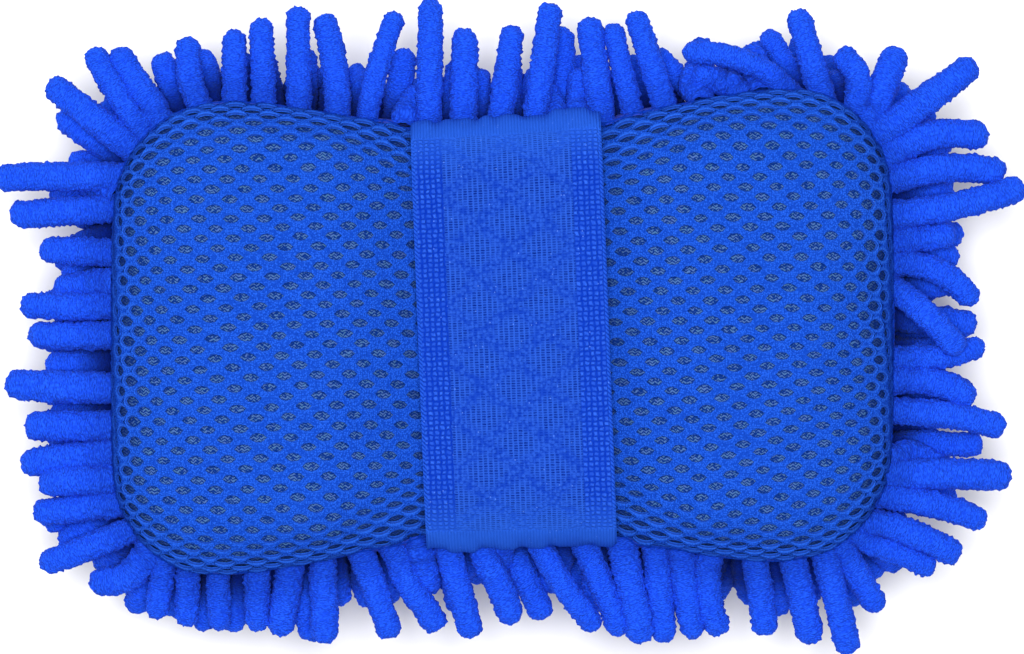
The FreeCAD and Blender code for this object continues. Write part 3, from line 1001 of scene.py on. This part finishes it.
def nearest_roots(places, roots):
    """The root that each place takes, one each, exchanged until no exchange brings them closer."""
    squares = ((places[:, None] - roots[None, :, :2]) ** 2).sum(2)
    holder = list(range(len(places))) + [None] * (len(roots) - len(places))
    taken = list(range(len(places)))
    better = True
    while better:
        better = False
        for place in range(len(places)):
            for root, other in enumerate(holder):
                own = taken[place]
                gain = squares[place, own] - squares[place, root]
                if other is not None:
                    gain += squares[other, root] - squares[other, own]
                if other != place and gain > 1e-12:
                    holder[root], holder[own] = place, other
                    taken[place] = root
                    if other is not None:
                        taken[other] = own
                    better = True
    return taken


def laid_path(line, base, in_rim):
    """A finger's middle line from an entry of LAID, with its root on the outline at a base height."""
    x, y, tip_x, tip_y, bow, rise = line
    t = np.linspace(0, 1, SEGMENTS + 1)[:, None]
    near = np.argmin(((OUTLINE - np.array([x, y]) * MM) ** 2).sum(1))
    root = np.array([*OUTLINE[near], base])
    tip = np.array([tip_x * MM, tip_y * MM, base + (rise - 2) * MM * in_rim])
    way = unit(tip - root)
    tip -= way * FINGER_RADIUS * BLUNT_RISE
    side = np.array([-way[1], way[0], 0])
    path = root * (1 - t) + tip * t + side * (4 * bow * MM * t * (1 - t))
    path[:, 2] += 2 * max(rise, 0) * MM * (t * (1 - t)).ravel()
    return path


def lay_by_hand(chains, lengths, rows):
    """Lays fingers as LAID says. The rim's own that it leaves out are short and hang lower."""
    held = np.zeros(len(chains), bool)
    for row in (0, 1):
        fingers = np.flatnonzero(rows == row)
        lines = [line for line in LAID if (line[5] < -1) == (row == 1)]
        places = np.array([line[:2] for line in lines]) * MM
        for line, index in zip(lines, nearest_roots(places, chains[fingers, 0])):
            finger = fingers[index]
            chains[finger] = laid_path(line, chains[finger, 0, 2], row == 0)
            lengths[finger] = running_length(chains[finger])[-1]
            held[finger] = True
    for finger in np.flatnonzero((rows == 0) & ~held):
        chains[finger] = chains[finger, :1] + (chains[finger] - chains[finger, :1]) * SHORT
        chains[finger, :, 2] -= np.linspace(0, SAG, SEGMENTS + 1)
        lengths[finger] *= SHORT
    return held


def near_pairs(points, owner, reach):
    """Pairs of points of different fingers that are within a distance along every axis."""
    first, second = [], []
    order = np.argsort(points[:, 0])
    x = points[order, 0]
    ends = np.searchsorted(x, x + reach)
    for i, end in enumerate(ends):
        if end <= i + 1:
            continue
        others = order[i + 1 : end]
        close = np.abs(points[others] - points[order[i]]).max(1) < reach
        chosen = others[close]
        first.append(np.full(len(chosen), order[i]))
        second.append(chosen)
    first, second = np.concatenate(first), np.concatenate(second)
    apart = owner[first] != owner[second]
    return first[apart], second[apart]


def pushes(points, first, second):
    """How far each point is pushed by points of other fingers that are too close to it."""
    gap = points[first] - points[second]
    distance = np.maximum(np.linalg.norm(gap, axis=1), 1e-6)
    push = np.maximum(2 * FINGER_RADIUS * PACKING - distance, 0) * 0.5
    move = gap / distance[:, None] * push[:, None]
    total, hits = np.zeros_like(points), np.zeros(len(points))
    for index, sign in ((first, 1), (second, -1)):
        np.add.at(total, index, sign * move)
        np.add.at(hits, index, push > 0)
    return total / np.maximum(hits, 1)[:, None] ** 0.5


def keep_lengths(points, step):
    """Puts each point of the chains back at its own distance from the one before it."""
    for k in range(1, points.shape[1]):
        way = points[:, k] - points[:, k - 1]
        way /= np.maximum(np.linalg.norm(way, axis=1), 1e-9)[:, None]
        points[:, k] = points[:, k - 1] + way * step[:, None]


def settle(chains, lengths, held):
    """Pushes the fingers off each other, the pad and the floor, each keeping its length."""
    points = chains.copy()
    count, links = points.shape[:2]
    owner = np.repeat(np.arange(count), links)
    free = np.ones((count, links, 1))
    free[:, :2] = 0
    free[:, 2] = 0.6
    low, high = np.array(cad_box[0]) - ROOM, np.array(cad_box[1]) + ROOM
    for turn in range(ROUNDS):
        flat = points.reshape(-1, 3)
        if turn % 8 == 0:
            pairs = near_pairs(flat, owner, 2.6 * FINGER_RADIUS)
        points += pushes(flat, *pairs).reshape(points.shape) * free
        points += (chains - points) * np.where(held, HELD_PULL, FREE_PULL)[:, None, None] * free
        middle = (points[:, :-2] + points[:, 2:]) / 2
        points[:, 1:-1] += (middle - points[:, 1:-1]) * STRAIGHTENING * free[:, 1:-1]
        if turn % 6 == 5:
            points = out_of_pad(points)
        points = np.clip(points, low, high)
        points[:, :, 2] = np.maximum(points[:, :, 2], FINGER_RADIUS)
        keep_lengths(points, lengths / SEGMENTS)
    return points


def out_of_pad(points):
    """Moves the outer points of the chains off the padded form."""
    for finger in points:
        for k in range(2, len(finger)):
            point = Vector(finger[k])
            near, normal = PAD_TREE.find_nearest(point, 12 * MM)[:2]
            if near is None:
                continue
            height = (point - near).dot(normal)
            if height < FINGER_RADIUS:
                finger[k] = point + normal * (FINGER_RADIUS - height)
    return points


def smooth_paths(chains, samples):
    """Catmull-Rom curves through chains of points, all of them at once."""
    start = 2 * chains[:, :1] - chains[:, 1:2]
    end = 2 * chains[:, -1:] - chains[:, -2:-1]
    knots = np.concatenate([start, chains, end], 1)
    place = np.linspace(0, chains.shape[1] - 1, samples)
    whole = np.minimum(place.astype(int), chains.shape[1] - 2)
    t = (place - whole)[None, :, None]
    a, b, c, d = (knots[:, whole + i] for i in range(4))
    return 0.5 * (2 * b + (c - a) * t + (2 * a - 5 * b + 4 * c - d) * t**2 + (3 * b - a - 3 * c + d) * t**3)


def blunt(share):
    """Turns the share of a round cap's radius into that of a blunter one."""
    return np.clip(share, 0, 1) ** 0.88


def tubes(paths, radii, sides, cap_rings=7, taper=0.0):
    """Round tubes along paths, a little thinner towards their far ends, which have blunt caps.

    A tube is open at its near end, and its cap's last ring is drawn in to a point. The result has
    points, outward directions and place along the tube, each as one array with an axis for the tube,
    the ring and the side, and the faces of one tube."""
    ways = unit(np.gradient(paths, axis=1))
    cap = np.linspace(0, math.pi / 2, cap_rings + 1)[1:]
    rises = [radii[:, None, None] * math.sin(angle) * BLUNT_RISE for angle in cap]
    centres = np.concatenate([paths] + [paths[:, -1:] + ways[:, -1:] * rise for rise in rises], 1)
    ways = np.concatenate([ways] + [ways[:, -1:]] * cap_rings, 1)
    thinning = 1 - taper * smooth_step(0.5, 1.0, np.linspace(0, 1, paths.shape[1]))
    shares = np.concatenate([thinning, (1 - taper) * blunt(np.cos(cap))])
    rise = np.concatenate([np.zeros(paths.shape[1]), np.sin(cap)])
    side = unit(np.cross(ways[:, 0], UNLIKELY_WAY))
    frames = []
    for ring in range(centres.shape[1]):
        way = ways[:, ring]
        side = unit(side - way * (side * way).sum(1)[:, None])
        frames.append(np.stack([side, np.cross(way, side)], 1))
    frames = np.stack(frames, 1)
    angles = np.linspace(0, 2 * math.pi, sides, endpoint=False)
    circle = np.stack([np.cos(angles), np.sin(angles)], 1)
    radial = np.einsum("sc,frcx->frsx", circle, frames)
    outward = radial * shares[None, :, None, None] + ways[:, :, None] * rise[None, :, None, None]
    points = centres[:, :, None] + radial * (radii[:, None] * shares)[:, :, None, None]
    steps = np.linalg.norm(np.diff(centres, axis=1), axis=2)
    along = np.concatenate([np.zeros((len(paths), 1)), np.cumsum(steps, axis=1)], 1)
    return points, outward, along, tube_faces(centres.shape[1], sides)


def fullness(roots):
    """How much fuller the fingers at the pad's ends and front are than those at its back."""
    left = smooth_step(-84 * MM, -96 * MM, roots[:, 0])
    right = smooth_step(84 * MM, 96 * MM, roots[:, 0])
    front = smooth_step(-40 * MM, -54 * MM, roots[:, 1])
    return np.maximum(np.maximum(0.17 * left, 0.15 * right), 0.10 * front)


def knobbles(points, along):
    """How far each point of the tubes is raised, in lumps, grains and worm-like rings."""
    flat = (points + rng.uniform(0, 0.05, size=(len(points), 1, 1, 3))).reshape(-1, 3)
    lumps = 0.14 * noise(flat, 1.7 * MM, 31) + 0.30 * noise(flat, 0.85 * MM, 32)
    lumps += 0.22 * noise(flat, 6 * MM, 33)
    lumps += 0.60 * np.maximum(noise(flat, 0.6 * MM, 35), 0)
    waver = noise(flat, 3 * MM, 34).reshape(points.shape[:3])
    phase = along[:, :, None] / (1.7 * MM) + waver * 0.25
    ridges = 0.10 * np.cos(2 * math.pi * phase)
    return (lumps.reshape(points.shape[:3]) + ridges) * MM


def pile_places(along, sides):
    """Where the points of the tubes are for the pile's loops: along a straight finger and round it."""
    angles = np.linspace(0, 2 * math.pi, sides, endpoint=False)
    places = np.empty((*along.shape, sides, 3))
    places[..., 0] = along[:, :, None] * 2.2 + np.arange(len(along))[:, None, None] * 0.1
    places[..., 1] = FINGER_RADIUS * np.cos(angles)
    places[..., 2] = FINGER_RADIUS * np.sin(angles)
    return places


def chenille_fingers(nodes, rows, chains):
    """One piece for each CAD node of fingers, made of knobbly tubes."""
    nodes = np.array(nodes)
    for node in sorted(set(nodes)):
        mine = np.flatnonzero(nodes == node)
        row = ROWS[rows[mine[0]]]
        paths = smooth_paths(chains[mine], row.rings)
        thick = 0.98 + 0.06 * rng.normal(size=len(mine)) + fullness(chains[mine, 1])
        points, outward, along, faces = tubes(paths, FINGER_RADIUS * thick, row.sides, taper=0.06)
        points = points + outward * knobbles(points, along)[..., None]
        points[..., 2] = np.maximum(points[..., 2], 0.1 * MM)
        whole = repeated_faces(faces, len(mine), along.shape[1] * row.sides)
        name = node.replace("fingers", "chenille")
        piece = mesh_object(name, points.reshape(-1, 3), whole, chenille)
        store(piece, "pile", "FLOAT_VECTOR", pile_places(along, row.sides))
        shade = smooth_step(15 * MM, 4 * MM, along) * (0.30 if row.name == "rim" else 0.92)
        store(piece, "root_shade", "FLOAT", np.repeat(shade, row.sides))
        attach(piece, "pad")
        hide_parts(node)


def rooted(chains):
    """The chains with one more point, inside the pad."""
    inside = chains[:, :1] - (chains[:, 1:2] - chains[:, :1])
    return np.concatenate([inside, chains], 1)


finger_nodes, finger_rows, finger_roots, finger_ways, finger_lengths = finger_field()
grown = finger_lengths * np.array([ROWS[r].growth for r in finger_rows])
chain_lengths = grown * (1 + 0.05 * rng.normal(size=len(grown))) - FINGER_RADIUS
finger_chains = hanging_chains(finger_rows, finger_roots, finger_ways, chain_lengths)
laid = lay_by_hand(finger_chains, chain_lengths, finger_rows)
finger_chains = settle(finger_chains, chain_lengths, laid)
chenille_fingers(finger_nodes, finger_rows, rooted(finger_chains))


# Hand strap

STRAP_ROWS, STRAP_COLUMNS = 220, 101  # of the points of its grid


def strap_line(count):
    """The strap's middle surface from its front foot to its back foot: Y, Z, the outward way and the
    place along it."""
    half = STRAP_THICKNESS / 2
    span, top, radius = STRAP_HALF_SPAN - half, STRAP_TOP - half, STRAP_ROUND - half
    foot = math.asin(max((STRAP_FOOT - (top - radius)) / radius, 0))
    angles = np.linspace(foot, math.pi / 2, 400)
    y = -(span - radius) - radius * np.cos(angles)
    z = top - radius + radius * np.sin(angles)
    turn = np.column_stack([y, z])
    outward = np.column_stack([-np.cos(angles), np.sin(angles)])
    line = np.concatenate([turn, turn[::-1] * [-1, 1]])
    ways = np.concatenate([outward, outward[::-1] * [-1, 1]])
    length = running_length(line)
    places = np.linspace(0, length[-1], count)
    y, z, out_y, out_z = (np.interp(places, length, column) for column in (*line.T, *ways.T))
    return y, z, out_y, out_z, places - length[-1] / 2


def strap_slack(grid_u, grid_s, reach):
    """How far the elastic lies off its even arch: slow waves, and puckers at its sewn ends."""
    flat = np.column_stack([grid_u.ravel(), grid_s.ravel(), np.zeros(grid_u.size)])
    pucker = smooth_step(reach - 12 * MM, reach - 2 * MM, np.abs(grid_s)).ravel()
    slack = noise(flat, 16 * MM, 41) * 0.35 * MM
    slack += noise(flat, 5 * MM, 42) * 0.12 * MM
    slack += noise(flat * [1, 0.2, 1], 2.6 * MM, 43) * 0.8 * MM * pucker
    return slack.reshape(grid_u.shape)


def band_faces(rows, columns):
    """The faces of a thick band between two grids of points: its top, its underside and its edges."""
    number = np.arange(rows * columns).reshape(rows, columns)
    corners = (number[:-1, :-1], number[:-1, 1:], number[1:, 1:], number[1:, :-1])
    top = np.stack(corners, -1).reshape(-1, 4)
    border = np.concatenate([number[0, :-1], number[:-1, -1], number[-1, :0:-1], number[:0:-1, 0]])
    following = np.roll(border, -1)
    walls = np.stack([following, border, border + number.size, following + number.size], -1)
    return np.concatenate([top, top[:, ::-1] + number.size, walls])


def hand_strap():
    """The elastic, a thin band with rounded selvedges and a shallow relief of ribs, and its length."""
    y, z, out_y, out_z, along = strap_line(STRAP_ROWS)
    grid_u, grid_s = np.meshgrid(np.linspace(-STRAP_WIDTH / 2, STRAP_WIDTH / 2, STRAP_COLUMNS), along)
    end = smooth_step(52.6 * MM, 54.2 * MM, np.abs(grid_s))
    edge = STRAP_WIDTH / 2 - np.abs(grid_u)
    thickness = STRAP_THICKNESS * (0.35 + 0.65 * smooth_step(0, 1.6 * MM, edge))
    ribs = 0.09 * MM * np.cos(2 * math.pi * grid_u / (1.5 * MM)) * (1 - end)
    slack = strap_slack(grid_u, grid_s, along.max())

    def surface(height):
        """Points of the strap's grid at a height over its middle surface."""
        offset = height + slack
        reach = y[:, None] * (1 + 0.012 * grid_u / (STRAP_WIDTH / 2))
        points = [grid_u, reach + out_y[:, None] * offset, z[:, None] + out_z[:, None] * offset]
        return np.stack(points, -1).reshape(-1, 3)

    vertices = np.concatenate([surface(thickness / 2 + ribs), surface(-thickness / 2)])
    cos, sin = math.cos(STRAP_TURN), math.sin(STRAP_TURN)
    vertices[:, :2] = vertices[:, :2] @ np.array([[cos, sin], [-sin, cos]])
    vertices[:, 0] += STRAP_CENTRE
    piece = mesh_object("hand_strap", vertices, band_faces(STRAP_ROWS, STRAP_COLUMNS), elastic)
    place = np.stack([grid_u, grid_s, end], -1).reshape(-1, 3)
    store(piece, "weave", "FLOAT_VECTOR", np.concatenate([place, place]))
    return piece, along.max() * 2


strap, strap_length = hand_strap()


# Rim seam

SEAM_POINTS = 480  # of which every second one starts a stitch
CORD_RADIUS = 0.5 * MM
STITCH_RADIUS = 0.3 * MM
STITCH_BULGE = 0.4 * MM


def seam_line(count, height, lift):
    """Points along the rim, at a height over the seam and a little off the padded form."""
    places, outward = evenly(OUTLINE, OUTWARD, count)
    ways = np.column_stack([outward, np.zeros(count)])
    points = np.column_stack([places, np.full(count, SEAM + height)])
    return onto_pad(points, ways, np.full(count, lift))


def rim_stitching():
    """The thread that sews the mesh to the chenille: a cord along the rim and slanted stitches."""
    cord = seam_line(SEAM_POINTS, -0.6 * MM, 0.1 * MM)
    loop = np.concatenate([cord, cord[:2]])[None]
    cord_points, _, _, cord_faces = tubes(loop, np.array([CORD_RADIUS]), 8, 1)
    high = seam_line(SEAM_POINTS, 0.6 * MM, 0.2 * MM)
    low = seam_line(SEAM_POINTS, -2.1 * MM, 0.1 * MM)
    starts, ends = low[0::2], np.roll(high, -1, axis=0)[0::2]
    middle = (starts + ends) / 2 + unit(cord[0::2] * [1, 1, 0]) * STITCH_BULGE
    paths = smooth_paths(np.stack([starts, middle, ends], 1), 7)
    points, _, _, faces = tubes(paths, np.full(len(paths), STITCH_RADIUS), 6, 1)
    stitches = repeated_faces(faces, len(paths), points.shape[1] * points.shape[2])
    vertices = np.concatenate([cord_points.reshape(-1, 3), points.reshape(-1, 3)])
    faces = np.concatenate([cord_faces, stitches + cord_points[0, ..., 0].size])
    return mesh_object("rim_stitching", vertices, faces, thread)


stitching = rim_stitching()


# The pieces' bodies, the CAD nodes they stand for and their finishes

for piece, node, slot in (
    (foam_pad, "foam_core", "foam"),
    (padding_sheet, "padding_layer", "padding"),
    (backing_sheet, "chenille_backing_cloth", "backing"),
    (mesh_top, "mesh_cover", "mesh"),
    (stitching, "rim_seam", "thread"),
):
    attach(piece, "pad")
    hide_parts(node)

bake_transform(strap)
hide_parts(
    "strap_band", "strap_side_front", "strap_side_back", "strap_end_front", "strap_end_back"
)


# Floor, light and camera


def floor_and_light():
    """A plain pale floor and soft studio light."""
    size = 1.5
    corners = [(-size, -size, 0), (size, -size, 0), (size, size, 0), (-size, size, 0)]
    floor = mesh_object("floor", corners, [(0, 1, 2, 3)], floor_material())
    floor.location.z = -0.2 * MM

    world = bpy.data.worlds.new("studio")
    bpy.context.scene.world = world
    world.use_nodes = True
    background = world.node_tree.nodes["Background"]
    background.inputs["Color"].default_value = (1, 1, 1, 1)
    background.inputs["Strength"].default_value = 0.5
    for name, place, width, power in (
        ("softbox_above", (0.0, 0.05, 1.75), 0.7, 34.0),
        ("softbox_side", (-0.9, 0.7, 1.0), 0.8, 4.0),
    ):
        light = bpy.data.lights.new(name, "AREA")
        light.shape = "DISK"
        light.size = width
        light.energy = power
        lamp = add_object(name, light)
        lamp.location = place
        lamp.rotation_euler = (-Vector(place)).to_track_quat("-Z", "Y").to_euler()


def camera_above():
    """A camera straight above, which sees a width of its own at the height of the pad's rim."""
    view_width, rim_height, distance = 269.5 * MM, 60 * MM, 1.6
    data = bpy.data.cameras.new("camera")
    data.sensor_width = 36
    data.lens = data.sensor_width * (distance - rim_height) / view_width
    camera = add_object("camera", data)
    camera.location = (2.6 * MM, 1.3 * MM, distance)
    bpy.context.scene.camera = camera
    bpy.context.scene.view_settings.view_transform = "Standard"


floor_and_light()
camera_above()
